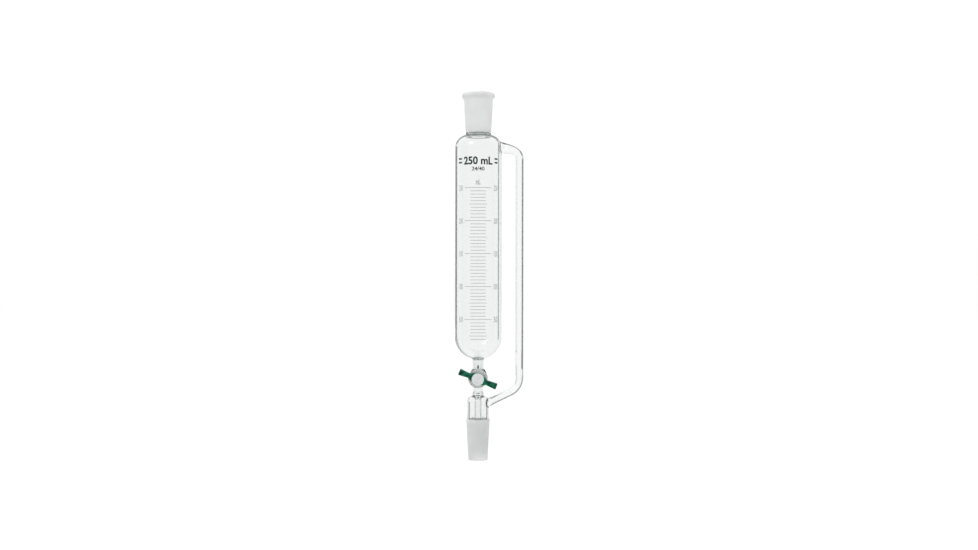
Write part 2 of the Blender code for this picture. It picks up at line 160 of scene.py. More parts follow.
def rounded(corners, steps=6):
    """Outline through (u, v) or (u, v, fillet) corners, each rounded to its fillet."""
    points = []
    for i, corner in enumerate(corners):
        here = Vector(corner[:2])
        fillet = corner[2] if len(corner) > 2 else 0.0
        if not fillet:
            points.append(tuple(here))
            continue
        before = Vector(corners[i - 1][:2]) - here
        after = Vector(corners[(i + 1) % len(corners)][:2]) - here
        reach = fillet / math.tan(before.angle(after) / 2)
        a = before.normalized() * min(reach, 0.49 * before.length)
        b = after.normalized() * min(reach, 0.49 * after.length)
        for k in range(steps + 1):
            t = k / steps
            points.append(tuple(here + a * (1 - t) ** 2 + b * t**2))
    return points


def bridge(bm, first, second):
    """Faces between two rings of vertices, where a ring of one vertex is a pole."""
    count = max(len(first), len(second))
    for i in range(count):
        j = (i + 1) % count
        corners = [first[i % len(first)], first[j % len(first)]]
        corners += [second[j % len(second)], second[i % len(second)]]
        bm.faces.new(dict.fromkeys(corners))


def lathe(outline, steps=128, shape=None):
    """Turned body about Z; shape(turn, radius, z) may change the radius, as flutes and threads do."""
    bm = bmesh.new()
    rings = []
    for radius, z in outline:
        ring = []
        for i in range(steps if radius > 0 else 1):
            turn = 2 * math.pi * i / steps
            r = shape(turn, radius, z) if shape else radius
            ring.append(bm.verts.new((r * math.cos(turn), r * math.sin(turn), z)))
        rings.append(ring)
    closed = outline[0][0] > 0
    for i in range(len(rings) if closed else len(rings) - 1):
        bridge(bm, rings[i], rings[(i + 1) % len(rings)])
    return bm


def swept_rod(path, steps=56):
    """Closed round rod along a path in the XZ plane; path is a list of (x, z, radius)."""
    bm = bmesh.new()
    rings = []
    for i, (x, z, radius) in enumerate(path):
        before, after = path[max(i - 1, 0)], path[min(i + 1, len(path) - 1)]
        along = Vector((after[0] - before[0], 0.0, after[1] - before[1])).normalized()
        across = Vector((0.0, 1.0, 0.0)).cross(along)
        ring = []
        for k in range(steps):
            turn = 2 * math.pi * k / steps
            side = across * math.cos(turn) + Vector((0.0, math.sin(turn), 0.0))
            ring.append(bm.verts.new(Vector((x, 0.0, z)) + side * radius))
        rings.append(ring)
    for first, second in zip(rings, rings[1:]):
        bridge(bm, first, second)
    bm.faces.new(rings[0])
    bm.faces.new(rings[-1])
    return bm


def prism(outline, back, front):
    """Closed slab of an outline between two distances forward."""
    bm = bmesh.new()
    face = bm.faces.new([bm.verts.new((u, v, back)) for u, v in outline])
    moved = bmesh.ops.extrude_face_region(bm, geom=[face])["geom"]
    tops = [v for v in moved if isinstance(v, bmesh.types.BMVert)]
    bmesh.ops.translate(bm, verts=tops, vec=(0.0, 0.0, front - back))
    return bm


def add_object(name, bm):
    """Object of a mesh, in the scene; the mesh is used up."""
    mesh = bpy.data.meshes.new(name)
    bm.to_mesh(mesh)
    bm.free()
    obj = bpy.data.objects.new(name, mesh)
    bpy.context.scene.collection.objects.link(obj)
    return obj


def short_lived(bm):
    """Object of a mesh, for modifiers to work on."""
    bmesh.ops.recalc_face_normals(bm, faces=bm.faces)
    return add_object("short_lived", bm)


def evaluated(obj, *others):
    """Mesh of an object after its modifiers, and the short-lived objects are removed."""
    bm = bmesh.new()
    bm.from_object(obj, bpy.context.evaluated_depsgraph_get())
    for old in (obj, *others):
        mesh = old.data
        bpy.data.objects.remove(old)
        bpy.data.meshes.remove(mesh)
    return bm


def combine(first, second, operation):
    """Boolean of two closed meshes, which it uses up."""
    target, tool = short_lived(first), short_lived(second)
    modifier = target.modifiers.new("boolean", "BOOLEAN")
    modifier.operation, modifier.solver, modifier.object = operation, "MANIFOLD", tool
    return evaluated(target, tool)


def bevelled(bm, width):
    """The mesh with its sharp edges rounded."""
    target = short_lived(bm)
    modifier = target.modifiers.new("bevel", "BEVEL")
    modifier.width, modifier.segments = width, 3
    modifier.limit_method, modifier.angle_limit = "ANGLE", math.radians(40)
    return evaluated(target)


def tap_to_world(tilt=0.0):
    """From stopcock axes, with Z forward, to the funnel's axes."""
    turned = Matrix.Rotation(math.pi / 2, 4, "X") @ Matrix.Rotation(-tilt, 4, "Z")
    return Matrix.Translation((0.0, 0.0, TAP_Z)) @ turned


def placed(bm, matrix):
    bmesh.ops.transform(bm, matrix=matrix, verts=bm.verts)
    return bm


def piece(name, bm, material, body, slot, *nodes, sharp=35.0):
    """Turns a millimetre mesh into a named piece that rides on a body and stands for CAD nodes."""
    bmesh.ops.dissolve_degenerate(bm, dist=1e-5, edges=bm.edges)
    bmesh.ops.scale(bm, vec=(MM, MM, MM), verts=bm.verts)
    bmesh.ops.recalc_face_normals(bm, faces=bm.faces)
    obj = add_object(name, bm)
    obj.data.shade_smooth()
    obj.data.set_sharp_from_angle(angle=math.radians(sharp))
    obj.data.materials.append(material)
    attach(obj, body)
    if nodes:
        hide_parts(*nodes)
    return obj


# ---------------------------------------------------------------- materials


def math_node(tree, operation, *values):
    """Output of a new math node, whose inputs are numbers or other nodes' outputs."""
    node = tree.nodes.new("ShaderNodeMath")
    node.operation = operation
    for socket, value in zip(node.inputs, values):
        if isinstance(value, (int, float)):
            socket.default_value = value
        else:
            tree.links.new(value, socket)
    return node.outputs[0]


class Look:
    """A node material with a Principled shader, built a node at a time."""

    def __init__(self, name):
        self.material = bpy.data.materials.new(name)
        self.material.use_nodes = True
        self.nodes = self.material.node_tree.nodes
        self.links = self.material.node_tree.links
        self.maths = partial(math_node, self.material.node_tree)
        self.shader = self.nodes["Principled BSDF"]
        self.place = self.nodes.new("ShaderNodeTexCoord").outputs["Object"]

    def set(self, **values):
        for name, value in values.items():
            self.shader.inputs[name.replace("_", " ")].default_value = value

    def stretched(self, scale):
        mapping = self.nodes.new("ShaderNodeMapping")
        mapping.inputs["Scale"].default_value = scale
        self.links.new(self.place, mapping.inputs["Vector"])
        return mapping.outputs["Vector"]

    def noise(self, scale, detail=3.0, stretch=None, roughness=0.5):
        node = self.nodes.new("ShaderNodeTexNoise")
        node.inputs["Scale"].default_value = scale
        node.inputs["Detail"].default_value = detail
        node.inputs["Roughness"].default_value = roughness
        where = self.stretched(stretch) if stretch else self.place
        self.links.new(where, node.inputs["Vector"])
        return node.outputs["Fac"]

    def rings(self, scale, axis="Z", distortion=0.0):
        """Fine turned or ground rings along an axis."""
        node = self.nodes.new("ShaderNodeTexWave")
        node.wave_type, node.bands_direction = "BANDS", axis
        node.inputs["Scale"].default_value = scale
        node.inputs["Distortion"].default_value = distortion
        node.inputs["Detail"].default_value = 2.0
        self.links.new(self.place, node.inputs["Vector"])
        return node.outputs["Fac"]

    def facing(self):
        """0 where the surface faces the ray, up to 1 where it is seen edge on."""
        node = self.nodes.new("ShaderNodeLayerWeight")
        node.inputs["Blend"].default_value = 0.5
        return node.outputs["Facing"]

    def attribute(self, name):
        node = self.nodes.new("ShaderNodeAttribute")
        node.attribute_name = name
        return node.outputs["Fac"]

    def along(self, axis):
        """Place along an axis, in metres."""
        node = self.nodes.new("ShaderNodeSeparateXYZ")
        self.links.new(self.place, node.inputs[0])
        return node.outputs[axis]

    def times(self, first, second):
        """Product of two colours."""
        node = self.nodes.new("ShaderNodeVectorMath")
        node.operation = "MULTIPLY"
        self.links.new(first, node.inputs[0])
        self.links.new(second, node.inputs[1])
        return node.outputs[0]

    def painted_join_shade(self):
        """Darker bands painted by height at the joins of the blanks: painted shade standing in for the dark
        lines that the glass refracts there.
        """
        stops = [(0.0, WHITE)]
        for bottom, top, colour in JOIN_SHADE_BANDS:
            stops += [(bottom - JOIN_SHADE_FADE, WHITE), (bottom, colour)]
            stops += [(top, colour), (top + JOIN_SHADE_FADE, WHITE)]
        height = self.maths("DIVIDE", self.along("Z"), RIM_Z * MM)
        off_arm = self.maths("LESS_THAN", self.along("X"), BODY_R * MM)
        factor = self.maths("MULTIPLY", height, off_arm)
        return self.ramp(factor, *[(z / RIM_Z, colour) for z, colour in stops])

    def ramp(self, factor, *stops):
        """Colour that goes through stops of (factor, colour)."""
        node = self.nodes.new("ShaderNodeValToRGB")
        elements = node.color_ramp.elements
        for i, (at, colour) in enumerate(stops):
            element = elements[i] if i < 2 else elements.new(at)
            element.position, element.color = at, (*colour, 1.0)
        self.links.new(factor, node.inputs["Fac"])
        return node.outputs["Color"]

    def spread(self, factor, lowest, highest, start=0.3, end=0.7):
        """Value from lowest to highest while the factor goes from start to end; most noise is in 0.3-0.7."""
        node = self.nodes.new("ShaderNodeMapRange")
        node.inputs["From Min"].default_value = start
        node.inputs["From Max"].default_value = end
        node.inputs["To Min"].default_value = lowest
        node.inputs["To Max"].default_value = highest
        self.links.new(factor, node.inputs["Value"])
        return node.outputs["Result"]

    def feed(self, name, output):
        self.links.new(output, self.shader.inputs[name])

    def bump(self, *layers):
        """Bump layers of (height, strength, distance), one on top of the other."""
        normal = None
        for height, strength, distance in layers:
            node = self.nodes.new("ShaderNodeBump")
            node.inputs["Strength"].default_value = strength
            node.inputs["Distance"].default_value = distance
            self.links.new(height, node.inputs["Height"])
            if normal:
                self.links.new(normal, node.inputs["Normal"])
            normal = node.outputs["Normal"]
        self.feed("Normal", normal)

    def tint(self, colour, density):
        """Colour that deepens with the length of glass that light crosses."""
        node = self.nodes.new("ShaderNodeVolumeAbsorption")
        node.inputs["Color"].default_value = (*colour, 1.0)
        node.inputs["Density"].default_value = density
        output = self.nodes["Material Output"]
        self.links.new(node.outputs["Volume"], output.inputs["Volume"])


def on_arm(place):
    """Whether an outside point of the fused glass is on the side arm."""
    on_leg = LEG_START < place.x and slope_z(place.x) - 5 < place.z < LEG_TOP
    return place.x > ARM_START or on_leg


def on_mouth(place):
    """Whether a point is where the side arm leaves the jacket."""
    return MOUTH_X[0] < place.x < MOUTH_X[1] and MOUTH_Z[0] < place.z < MOUTH_Z[1]


def painted_outline_shade_strength(place, normal):
    """How dark the painted outline shade is where the glass is seen edge on, standing in for the dark edges
    that glass refracts: most on the bent arm and the drawn-out neck.
    """
    if on_arm(place):
        # Painted shade: the arm's outline is darker on the side that faces out and down below the tube, and
        # out and up above it.
        if place.z < ARM_BOTTOM:
            return 3.6 if normal.x - normal.z > 0.3 else 0.7
        return 2.4 if normal.x + normal.z > 0.3 else 1.3
    if place.z > SHOULDER[1]:
        return 1.0 + 0.06 * (place.z - SHOULDER[1])
    # Painted shade: the reservoir and its dome take a darker outline on the left (x < 0) than on the right.
    if place.z > DOME_Z:
        return 1.35 if place.x < 0 else 1.0
    if DOME_FOOT < place.z < DOME_Z:
        return 1.2 + 0.02 * (place.z - DOME_FOOT) if place.x < 0 else 1.0
    if on_mouth(place):
        return 0.0
    if place.z > RING_SEAL_Z:
        return 0.6
    return 1.3 if place.xy.length < JACKET_R + 0.1 else 2.0


def mark_painted_outline_shade(obj):
    """Marks how much painted outline shade each point of the fused glass takes: inner walls take none."""
    path = [Vector((x, 0.0, z)) for x, z, radius in arm_path()]
    marks = obj.data.attributes.new("outside", "FLOAT", "POINT")
    for vertex, mark in zip(obj.data.vertices, marks.data):
        place = vertex.co / MM
        if place.x > ARM_START:
            centre = min(path, key=lambda point: (point - place).length_squared)
        else:
            z = min(max(place.z, DOME_Z), SHOULDER[1]) if place.z > DOME_FOOT else place.z
            centre = Vector((0.0, 0.0, z))
        if vertex.normal.dot(place - centre) > 0:
            mark.value = painted_outline_shade_strength(place, vertex.normal)


def mark_painted_wall_line_shade(obj):
    """Marks the outsides of jacket and drip tube, where a painted dark line next to the outline stands in
    for the shade that their thin wall refracts.
    """
    marks = obj.data.attributes.new("wall_line", "FLOAT", "POINT")
    for vertex, mark in zip(obj.data.vertices, marks.data):
        place = vertex.co / MM
        on_jacket = CONE_TOP - 0.5 < place.z < JACKET_SHOULDER[1] + 0.1
        if on_jacket and abs(place.xy.length - JACKET_R) < 0.1:
            mark.value = 1.0
        elif place.z < 62.5 and abs(place.xy.length - DRIP_R) < 0.1:
            mark.value = 1.3


def clear_glass():
    """Clear glass, whose base colour carries painted shade at its outline, at the line of a thin wall and at
    the joins of its blanks.
    """
    look = Look("borosilicate_clear")
    look.set(Roughness=0.0, IOR=GLASS_IOR, Transmission_Weight=1.0)
    # Painted shade: a ramp on Layer Weight darkens the base colour where the glass is seen edge on, in place
    # of the dark edges that refraction gives.
    painted_outline_mask = look.maths("MULTIPLY", look.facing(), look.attribute("outside"))
    painted_outline_shade = look.ramp(painted_outline_mask, (0.76, WHITE), (0.97, (0.12, 0.155, 0.15)))
    # Painted shade: a narrow dark band at one range of facing, on the outsides of jacket and drip tube,
    # draws the line that their wall shows.
    beside = look.maths("MULTIPLY", look.facing(), look.attribute("wall_line"))
    dark = (0.10, 0.125, 0.12)
    line = look.ramp(beside, (0.31, WHITE), (0.37, dark), (0.47, dark), (0.55, WHITE))
    # Base colour: painted outline shade, painted wall-line shade and painted shade at the joins.
    look.feed("Base Color", look.times(look.times(painted_outline_shade, line), look.painted_join_shade()))
    draw = look.noise(30.0, 2.0, stretch=(1.0, 1.0, 0.25))
    look.bump((draw, 0.05, 0.0006))
    look.tint((0.80, 0.83, 0.82), 150.0)
    return look.material


def ground_glass(name, clear_from, ground_from):
    """Frosted glass, whose grinding fades out between two heights."""
    look = Look(name)
    look.set(IOR=GLASS_IOR, Transmission_Weight=0.6)
    cover = look.spread(look.along("Z"), 0.0, 1.0, clear_from * MM, ground_from * MM)
    grain = look.noise(5200.0, 2.0, roughness=0.7)
    darker = tuple(c * 0.95 for c in FROST)
    lighter = tuple(c * 1.03 for c in FROST)
    clouded = look.ramp(look.noise(90.0, 4.0), (0.3, darker), (0.7, lighter))
    fading = look.ramp(cover, (0.0, (1.06, 1.06, 1.06)), (1.0, WHITE))
    look.feed("Base Color", look.times(clouded, fading))
    look.feed("Roughness", look.spread(grain, 0.45, 0.62))
    look.bump((look.rings(700.0, distortion=3.0), 0.12, 0.00004), (grain, 0.35, 0.00005))
    return look.material


def ptfe():
    look = Look("ptfe_white")
    look.set(IOR=1.38, Specular_IOR_Level=0.45, Subsurface_Weight=0.25, Subsurface_Scale=0.002)
    look.shader.inputs["Subsurface Radius"].default_value = (1.0, 0.95, 0.9)
    cloud = look.noise(260.0, 4.0)
    shades = (0.3, (0.55, 0.568, 0.568)), (0.7, (0.62, 0.638, 0.638))
    look.feed("Base Color", look.ramp(cloud, *shades))
    look.feed("Roughness", look.spread(look.noise(900.0), 0.32, 0.5))
    look.bump((look.rings(1500.0, "Y", 1.0), 0.1, 0.00003), (cloud, 0.1, 0.0002))
    return look.material


def green_plastic():
    look = Look("green_moulded_plastic")
    look.set(IOR=1.49, Specular_IOR_Level=0.22)
    flow = look.noise(190.0, 3.0, stretch=(0.6, 1.0, 1.0))
    shades = (0.38, (0.0, 0.026, 0.013)), (0.66, (0.003, 0.155, 0.082))
    look.feed("Base Color", look.ramp(flow, *shades))
    look.feed("Roughness", look.spread(look.noise(700.0), 0.22, 0.38))
    look.bump((look.noise(1400.0, 2.0), 0.08, 0.00006), (flow, 0.06, 0.0003))
    return look.material


def black_rubber():
    look = Look("black_rubber")
    grain = look.noise(1800.0, 3.0)
    shades = (0.3, (0.010, 0.010, 0.011)), (0.7, (0.022, 0.022, 0.023))
    look.feed("Base Color", look.ramp(grain, *shades))
    look.feed("Roughness", look.spread(grain, 0.5, 0.72))
    look.bump((grain, 0.2, 0.00005))
    return look.material


def enamel(name, thin, full):
    """Fired-on print, a little uneven in how thick it went on."""
    look = Look(name)
    cover = look.noise(1500.0, 4.0)
    look.feed("Base Color", look.ramp(cover, (0.35, thin), (0.65, full)))
    look.feed("Roughness", look.spread(cover, 0.35, 0.55))
    look.bump((cover, 0.2, 0.00003))
    return look.material


# ---------------------------------------------------------------- glass


def reservoir_ring():
    """Wall of the reservoir, from the neck over the shoulder to the dome and down the upper stem."""
    inner = BODY_R - WALL
    corners = [(NECK_R - 0.25, NECK_TOP), (NECK_R, NECK_TOP - 0.6, 0.15), (NECK_R, 333.9, 1.0)]
    corners += arc(SHOULDER, SHOULDER_R, 79, 0, 22)
    corners += [(BODY_R, 300.0), (BODY_R, 140.0)]
    corners += arc((0.0, DOME_Z), BODY_R, 0, -73.3, 26, DOME_HEIGHT)
    corners += [(6.2, 103.9, 0.25), (6.2, 103.1, 0.25), (UPPER_STEM_R, 102.8, 0.2)]
    corners += [(UPPER_STEM_R, TAP_Z), (FLOW_BORE_R, TAP_Z), (FLOW_BORE_R, 94.0, 0.6), (2.8, 103.6, 1.5)]
    corners += arc((0.0, DOME_Z), inner, -74.5, 0, 26, DOME_HEIGHT - END_WALL)
    corners += [(inner, 140.0), (inner, 300.0)]
    corners += arc(SHOULDER, SHOULDER_R - WALL, 0, 70, 20, SHOULDER_R - END_WALL)
    corners += [(11.2, 333.3, 3.0), (NECK_BORE_R, NECK_TOP)]
    return lathe(rounded(corners))


def jacket_ring():
    """Jacket, ring seal, lower stem and drip tube, which are one piece of glass with a slanted tip."""
    inner = JACKET_R - JACKET_WALL
    corners = [(8.95, 1.05), (JACKET_R, 31.0, 0.5), (JACKET_R, CONE_TOP)]
    corners += arc(JACKET_SHOULDER, JACKET_SHOULDER_R, 0, 84, 12)
    corners += [(5.75, 65.6, 0.4), (5.75, 68.2, 0.9), (LOWER_STEM_R, 69.8, 0.6), (LOWER_STEM_R, TAP_Z)]
    corners += [(2.6, TAP_Z), (2.6, 66.0), (2.7, 62.0), (2.7, DRIP_TIP, 0.3)]
    corners += [(DRIP_R, DRIP_TIP, 0.3), (DRIP_R, 62.4, 0.9), (5.1, 63.7, 0.6)]
    corners += arc(JACKET_SHOULDER, JACKET_SHOULDER_R - JACKET_WALL, 84, 0, 12, 3.7)
    corners += [(inner, CONE_TOP), (inner, 34.0), (8.2, 1.05)]
    bm = lathe(rounded(corners), steps=96)
    for vertex in bm.verts:
        if abs(vertex.co.z - DRIP_TIP) < 1.5 and vertex.co.xy.length < 7.0:
            vertex.co.z += (vertex.co.x + DRIP_R) * 0.7
    return bm


def barrel_rod():
    """Outside of the stopcock barrel, with a lip at each end."""
    corners = [(0.0, BARREL_END), (9.85, BARREL_END, 0.7), (9.85, 16.2, 0.6), (8.8, 14.8, 1.2)]
    corners += [(8.4, 0.0), (6.9, -14.8, 1.2), (7.4, -16.2, 0.5), (7.4, -BARREL_END, 0.6)]
    corners += [(0.0, -BARREL_END)]
    return placed(lathe(rounded(corners), steps=112), tap_to_world())


def plug_taper(forward):
    """Radius of the plug at a distance forward."""
    return 5.3 + 0.1 * forward


def plug_bore():
    """Tapered hole through the barrel, a little wider than the plug."""
    ends = (BARREL_END + 1, -BARREL_END - 1)
    outline = [(0.0, ends[0])] + [(plug_taper(a) + 0.06, a) for a in ends] + [(0.0, ends[1])]
    return placed(lathe(outline, steps=112), tap_to_world())


def slope_z(x):
    """Height of the side arm's sloping leg."""
    return ARM_ELBOW_Z - (ARM_X - x) * math.tan(math.radians(ARM_SLOPE))


def arm_path():
    """Centreline and radius of the side arm, from inside the shoulder down to inside the jacket."""
    bends = ((20.0, 321.9), (36.0, 319.0), (ARM_X, 318.5), (ARM_X, 308.5))
    path = [(17.0, 322.4, 6.2)]
    for i in range(31):
        t = i / 30
        weights = ((1 - t) ** 3, 3 * t * (1 - t) ** 2, 3 * t * t * (1 - t), t**3)
        x, z = (sum(w * p[axis] for w, p in zip(weights, bends)) for axis in (0, 1))
        flare = max(0.0, 1.0 - 1.6 * t) ** 1.5
        path.append((x, z, ARM_R + 2.2 * flare))
    path += [(ARM_X, ARM_TOP, ARM_R), (ARM_X, ARM_BOTTOM, ARM_R)]
    turn = 90 - ARM_SLOPE
    centre = (ARM_X - ARM_BEND_R, ARM_ELBOW_Z + ARM_BEND_R * math.tan(math.radians(turn) / 2))
    path += [(x, z, ARM_R) for x, z in arc(centre, ARM_BEND_R, 0, -turn, 22)]
    for i in range(1, 9):
        x = 18.5 - i * 1.35
        path.append((x, slope_z(x), ARM_R + 1.3 * (i / 8) ** 2))
    return path


def arm_rod():
    """Outside of the side arm, cut off in the middle of the walls that it is fused to."""
    inset = WALL / 2
    corners = [(0.0, 290.0), (BODY_R - inset, 290.0)]
    corners += arc(SHOULDER, SHOULDER_R - inset, 0, 90, 20)
    rod = combine(swept_rod(arm_path()[1:]), lathe(corners + [(0.0, corners[-1][1])]), "DIFFERENCE")
    inset = 0.8
    corners = [(0.0, CONE_TOP), (JACKET_R - inset, CONE_TOP)]
    corners += arc(JACKET_SHOULDER, JACKET_SHOULDER_R - inset, 0, 90, 12)
    return combine(rod, lathe(corners + [(0.0, corners[-1][1])], steps=96), "DIFFERENCE")


def arm_bore():
    return swept_rod([(x, z, radius - ARM_WALL) for x, z, radius in arm_path()])


def flow_bore(bottom, top):
    """The stopcock's way through, to be cut out."""
    return lathe([(0.0, bottom), (FLOW_BORE_R, bottom), (FLOW_BORE_R, top), (0.0, top)], 48)


def make_glass_body(material):
    """All the clear glass: blanks fused into one body, then opened up by the bores."""
    bm = combine(reservoir_ring(), barrel_rod(), "UNION")
    bm = combine(bm, jacket_ring(), "UNION")
    bm = combine(bm, arm_rod(), "UNION")
    bm = combine(bm, arm_bore(), "DIFFERENCE")
    bm = combine(bm, plug_bore(), "DIFFERENCE")
    bm = combine(bm, flow_bore(TAP_Z - 12, TAP_Z + 9.5), "DIFFERENCE")
    nodes = ("vapour_jacket", "drip_tube", "lower_stem", "stopcock_barrel", "upper_stem")
    nodes += ("reservoir_bottom", "reservoir_cylinder", "reservoir_shoulder")
    nodes += ("side_arm_upper_bend", "side_arm_tube", "side_arm_lower_bend")
    body = piece("fused_glass", bm, material, "glass_body", "clear_glass", *nodes)
    mark_painted_outline_shade(body)
    mark_painted_wall_line_shade(body)


def make_socket(material):
    """Ground socket with a rolled, fire-polished bead."""
    corners = [(NECK_R - 0.25, NECK_TOP + 0.02), (NECK_R + 0.02, NECK_TOP + 0.6, 0.15)]
    corners += [(NECK_R + 1.95, RIM_Z - 7.5, 1.5)]
    corners += arc((BEAD_R - 3.1, RIM_Z - 3.1), 3.1, -58, 90, 16)
    corners += [(12.6, RIM_Z, 0.4), (12.0, RIM_Z - 0.6, 0.3), (10.0, RIM_Z - 40.4, 0.4)]
    corners += [(NECK_BORE_R, NECK_TOP + 0.02)]
    bm = lathe(rounded(corners))
    piece("ground_socket", bm, material, "glass_body", "ground_glass", "socket_joint")


def make_cone(material):
    """Ground skin of the cone, whose upper end thins out over the clear jacket."""
    corners = [(9.9, 0.0, 0.3), (CONE_R, 40.0, 0.2), (CONE_R, 40.9, 0.5), (JACKET_R + 0.1, CONE_TOP)]
    corners += [(JACKET_R + 0.02, CONE_TOP - 0.02), (JACKET_R + 0.02, 31.0, 0.5), (8.97, 1.0, 0.1)]
    corners += [(8.3, 1.0, 0.1), (8.2, 0.0, 0.3)]
    bm = lathe(rounded(corners))
    piece("ground_cone", bm, material, "glass_body", "ground_glass", "cone_joint")


def make_lip(material):
    """Ground front end of the stopcock barrel."""
    corners = [(9.55, BARREL_END + 0.18, 0.08), (9.55, BARREL_END + 0.02), (7.5, BARREL_END + 0.02)]
    corners += [(7.5, BARREL_END + 0.18, 0.08)]
    bm = placed(lathe(rounded(corners, 3)), tap_to_world())
    piece("ground_lip", bm, material, "glass_body", "ground_glass")


# ---------------------------------------------------------------- stopcock


def thread(turn, radius, z):
    """Rounded thread on the plug's tail, which fades in and out."""
    start, end = -BARREL_END - 0.8, THREAD_END + 0.9
    if radius < THREAD_R - 0.05 or not end < z < start:
        return radius
    fade = min(1.0, start - z, (z - end) / 0.6)
    return radius - THREAD_DEPTH * fade * (0.5 - 0.5 * math.cos(turn + 2 * math.pi * z / PITCH))


def make_plug(material):
    """PTFE plug with its round head, tapered body, flow bore and threaded tail."""
    back = -BARREL_END - 0.3
    corners = [(0.0, HEAD_FRONT - 0.25), (1.1, HEAD_FRONT - 0.25, 0.1), (1.4, HEAD_FRONT, 0.15)]
    corners += [(HEAD_R, HEAD_FRONT, 0.6), (HEAD_R, 27.8, 0.3), (4.0, 27.8, 0.2), (4.0, 20.2, 0.1)]
    corners += [(plug_taper(20.2), 20.2, 0.3), (plug_taper(back), back, 0.2), (THREAD_R, back, 0.2)]
    outline = rounded(corners)
    row, tail = 0.13, back - 0.4
    steps = round((tail - THREAD_END - 0.6) / row)
    outline += [(THREAD_R, tail - row * i) for i in range(steps)]
    outline += rounded([(THREAD_R, THREAD_END + 0.5), (2.5, THREAD_END, 0.1), (0.0, THREAD_END)])
    bore = placed(flow_bore(-10.0, 10.0), Matrix.Rotation(math.pi / 2, 4, "Y"))
    bm = combine(lathe(outline, steps=72, shape=thread), bore, "DIFFERENCE")
    placed(bm, tap_to_world(HANDLE_TILT))
    piece("tap_plug", bm, material, "plug", "ptfe", "stopcock_plug")


def handle_outline():
    """Bow-tie outline: a round hub and two arms that widen to blunt tips."""
    quarter = [(20.25, 3.15, 1.0), (9.4, 2.3, 3.0), (6.9, 3.9, 0.3)]
    hub = arc((0.0, 0.0), 6.2, 42, 138, 20)
    left = [(-u, *rest) for u, *rest in quarter[::-1]]
    half = quarter + hub + left
    return rounded(half + [(-u, -v, *rest) for u, v, *rest in half])


def handle_recess():
    """Shallow panel moulded into the front of one arm."""
    corners = [(10.2, 1.2, 0.5), (18.9, 1.95, 0.6), (18.9, -1.95, 0.6), (10.2, -1.2, 0.5)]
    return prism(rounded(corners), HANDLE_FRONT - 0.7, HANDLE_FRONT + 1)


def make_handle(material):
    """Handle with a panel in each arm and a hole for the plug's neck."""
    bm = prism(handle_outline(), HANDLE_BACK, HANDLE_FRONT)
    for turn in (0.0, math.pi):
        recess = placed(handle_recess(), Matrix.Rotation(turn, 4, "Z"))
        bm = combine(bm, recess, "DIFFERENCE")
    bm = bevelled(bm, 0.45)
    hole = [(0.0, HANDLE_BACK - 1), (4.15, HANDLE_BACK - 1), (4.15, 29.0), (0.0, 29.0)]
    bm = combine(bm, lathe(hole, 64), "DIFFERENCE")
    placed(bm, tap_to_world(HANDLE_TILT))
    piece("tap_handle", bm, material, "plug", "green_plastic", "stopcock_handle")


def make_washer(material):
    front, back = -low("plug_washer").y, -high("plug_washer").y
    corners = [(6.5, front, 0.25), (6.5, back, 0.25), (3.2, back, 0.15), (3.2, front, 0.15)]
    bm = placed(lathe(rounded(corners), 96), tap_to_world(HANDLE_TILT))
    piece("seal_washer", bm, material, "seal_stack", "ptfe", "plug_washer")


def make_o_ring(material):
    """O-ring, whose section is a circle of 24 points."""
    middle = -(low("plug_o_ring").y + high("plug_o_ring").y) / 2
    bm = lathe(arc((4.45, middle), 1.1, 0, 345, 23), 96)
    placed(bm, tap_to_world(HANDLE_TILT))
    piece("seal_o_ring", bm, material, "seal_stack", "rubber", "plug_o_ring")


def make_nut(material):
    """Tension nut: a smooth flange, then a grip with twelve rounded flutes."""
    front, back = -low("tension_nut").y, -high("tension_nut").y
    grip_r, flute_depth, flute_count = 8.2, 0.6, 12

    def flutes(turn, radius, z):
        if radius < 7.0 or z > front - 1.9:
            return radius
        return radius - flute_depth * (0.5 + 0.5 * math.cos(flute_count * turn)) ** 3

    outline = rounded([(8.6, front, 0.3), (8.6, front - 1.6, 0.3), (grip_r, front - 1.8, 0.1)])
    outline += [(grip_r, front - 2.0 - 0.5 * i) for i in range(9)]
    outline += rounded([(grip_r, back + 0.6), (grip_r, back, 0.5), (3.9, back, 0.2), (3.25, back + 0.7)])
    outline += [(3.25, front - 0.3), (3.55, front)]
    bm = placed(lathe(outline, 240, flutes), tap_to_world(HANDLE_TILT))
    piece("tap_nut", bm, material, "nut", "green_plastic", "tension_nut")


# ---------------------------------------------------------------- print


def surface_radius(z):
    """Outside radius of the reservoir at a height, on its cylinder or its dome."""
    if z >= DOME_Z:
        return BODY_R
    return BODY_R * math.sqrt(1 - ((DOME_Z - z) / DOME_HEIGHT) ** 2)


def wrap(bm, around=0.0):
    """Lays a flat print on the reservoir: its X runs round from the front, its Y up, its Z outwards."""
    for vertex in bm.verts:
        u, z, out = vertex.co
        turn = around + u / BODY_R
        radius = surface_radius(z) + PRINT_GAP + out
        vertex.co = (radius * math.sin(turn), -radius * math.cos(turn), z)
    return bm


def bar(width, height, z):
    """Flat bar with enough columns to bend round the glass."""
    bm = bmesh.new()
    columns = max(4, round(width / COLUMN))
    low_edge, high_edge = z - height / 2, z + height / 2
    section = [(low_edge, 0), (high_edge, 0), (high_edge, PRINT_THICKNESS), (low_edge, PRINT_THICKNESS)]
    rings = []
    for i in range(columns + 1):
        u = width * (i / columns - 0.5)
        rings.append([bm.verts.new((u, v, w)) for v, w in section])
    for first, second in zip(rings, rings[1:]):
        bridge(bm, first, second)
    bm.faces.new(rings[0])
    bm.faces.new(rings[-1])
    return bm


